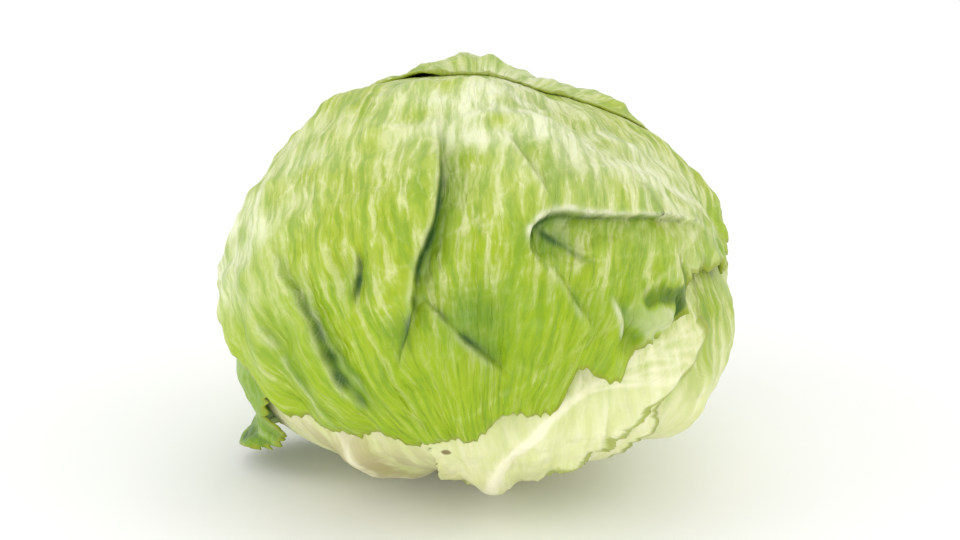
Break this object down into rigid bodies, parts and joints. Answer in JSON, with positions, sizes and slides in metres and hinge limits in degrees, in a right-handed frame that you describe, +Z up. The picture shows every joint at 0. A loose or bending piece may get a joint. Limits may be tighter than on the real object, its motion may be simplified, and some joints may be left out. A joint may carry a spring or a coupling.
{
  "type": "iceberg lettuce head",
  "caption": "Whole trimmed head of iceberg lettuce: loose wrapper leaves folded over a heart of packed leaves on a short cut stem, one leaf's lobe hanging out at the base",
  "frame": {"origin": "the centre of the stem's level cut face, which the head stands on", "axes": "+Z up towards the crown, -Y the front with the long dropped fold, +X the right as seen from the front"},
  "size_m": [0.1658, 0.1727, 0.1343],
  "materials": {
    "leaf": "crisp waxy leaf, bright green at the edge and cream on the ribs",
    "heart": "pale packed leaves",
    "stem": "cream stump with a dried, lightly browned cut"
  },
  "bodies": {
    "root": {"stem": "stem", "heart": "heart", "wrapper_left_inner": "leaf", "wrapper_right": "leaf", "wrapper_front_left": "leaf", "wrapper_back_left": "leaf", "wrapper_front": "leaf", "wrapper_crown": "leaf", "wrapper_back": "leaf"}
  },
  "joints": []
}
